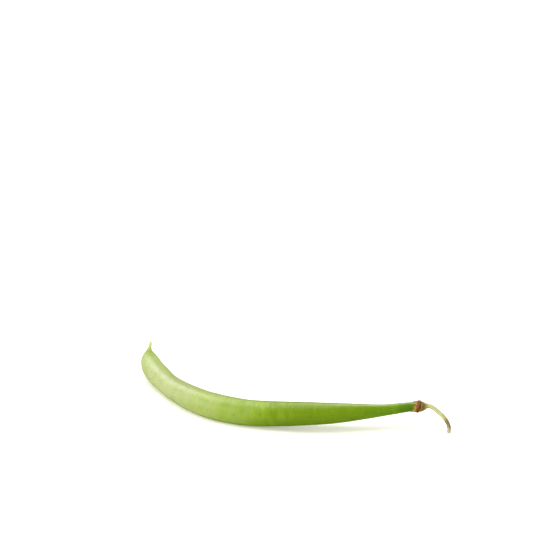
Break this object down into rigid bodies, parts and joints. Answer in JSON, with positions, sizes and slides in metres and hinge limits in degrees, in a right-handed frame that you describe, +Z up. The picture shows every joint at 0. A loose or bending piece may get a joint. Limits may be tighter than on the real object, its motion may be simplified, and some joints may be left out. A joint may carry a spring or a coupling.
{
  "type": "green bean",
  "caption": "Fresh green bean as picked, a curved pod with its dried calyx and short stalk, lying on its side at rest.",
  "frame": {"origin": "on the surface the bean lies on, under the middle of its bounding box", "axes": "+X along the long straight stretch, from the beak's side to the stalk's side; +Y towards the inside of the bend, where the beak points; +Z up from the surface"},
  "size_m": [0.1178, 0.0643, 0.0107],
  "materials": {
    "bean_skin": "satin",
    "dried_calyx": "matte",
    "green_stalk": "satin"
  },
  "bodies": {
    "root": {"pod": "bean_skin", "calyx": "dried_calyx", "pedicel": "green_stalk"}
  },
  "joints": []
}
